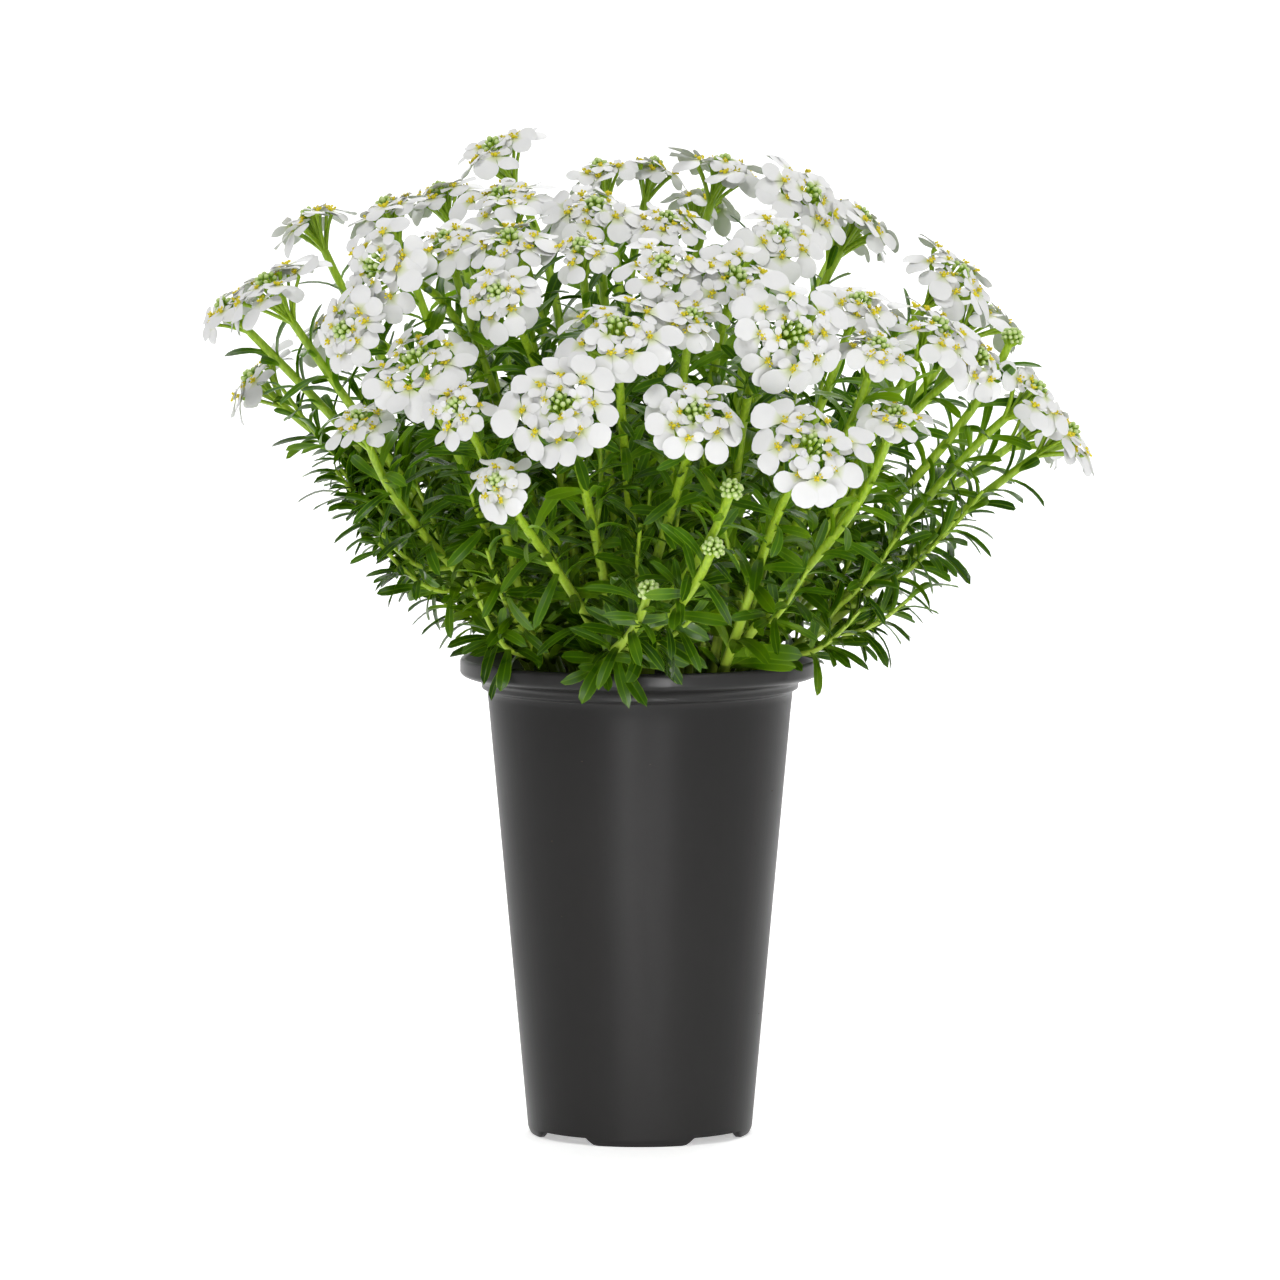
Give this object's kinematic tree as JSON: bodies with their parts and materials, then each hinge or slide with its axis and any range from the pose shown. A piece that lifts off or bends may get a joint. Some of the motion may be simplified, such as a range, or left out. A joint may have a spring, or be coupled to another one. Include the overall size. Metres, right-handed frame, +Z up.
{
  "type": "potted candytuft",
  "caption": "Potted candytuft in flower: leafy green stems with domed heads of white florets, in soil in a tall round black nursery pot.",
  "frame": {"origin": "on the ground, under the middle of the whole object's box, which is the pot's axis", "axes": "+Z up, the side shown in the picture towards -Y, +X to the right in that view"},
  "size_m": [0.2021, 0.1955, 0.2291],
  "materials": {
    "black_plastic": "satin moulded plastic",
    "soil": "matte, crumbly bark and peat mix",
    "leaf_and_stem": "satin living leaf and green stem",
    "petal": "soft matte petal"
  },
  "bodies": {
    "root": {"bloom_back_far_right_1": "petal", "bloom_back_far_right_2": "petal", "bloom_back_left_1": "petal", "bloom_back_left_2": "petal", "bloom_back_left_3": "petal", "bloom_back_mid_1": "petal", "bloom_back_mid_2": "petal", "bloom_back_mid_3": "petal", "bloom_back_right_1": "petal", "bloom_back_right_2": "petal", "bloom_back_right_3": "petal", "bloom_back_right_4": "petal", "bloom_centre_1": "petal", "bloom_centre_2": "petal", "bloom_centre_3": "petal", "bloom_centre_4": "petal", "bloom_centre_right_1": "petal", "bloom_centre_right_2": "petal", "bloom_centre_right_3": "petal", "bloom_left_back_1": "petal", "bloom_left_back_2": "petal", "bloom_left_far_1": "petal", "bloom_left_front_1": "petal", "bloom_left_front_2": "petal", "bloom_left_front_3": "petal", "bloom_low_centre_1": "petal", "bloom_low_centre_2": "petal", "bloom_low_centre_3": "petal", "bloom_right_far_1": "petal", "bloom_right_front_1": "petal", "bloom_right_front_2": "petal", "bloom_right_top_1": "petal", "bloom_right_top_2": "petal", "bloom_right_top_3": "petal", "bloom_right_top_4": "petal", "bloom_right_upper_1": "petal", "bloom_right_upper_2": "petal", "bloom_right_upper_3": "petal", "bloom_top_left_1": "petal", "bloom_top_left_2": "petal", "bloom_top_left_3": "petal", "bloom_top_left_4": "petal", "pot": "black_plastic", "soil": "soil", "stem_back_far_right": "leaf_and_stem", "stem_back_left": "leaf_and_stem", "stem_back_mid": "leaf_and_stem", "stem_back_right": "leaf_and_stem", "stem_centre": "leaf_and_stem", "stem_centre_right": "leaf_and_stem", "stem_front_bud": "leaf_and_stem", "stem_left_back": "leaf_and_stem", "stem_left_far": "leaf_and_stem", "stem_left_front": "leaf_and_stem", "stem_low_centre": "leaf_and_stem", "stem_right_far": "leaf_and_stem", "stem_right_front": "leaf_and_stem", "stem_right_top": "leaf_and_stem", "stem_right_upper": "leaf_and_stem", "stem_top_left": "leaf_and_stem"}
  },
  "joints": []
}
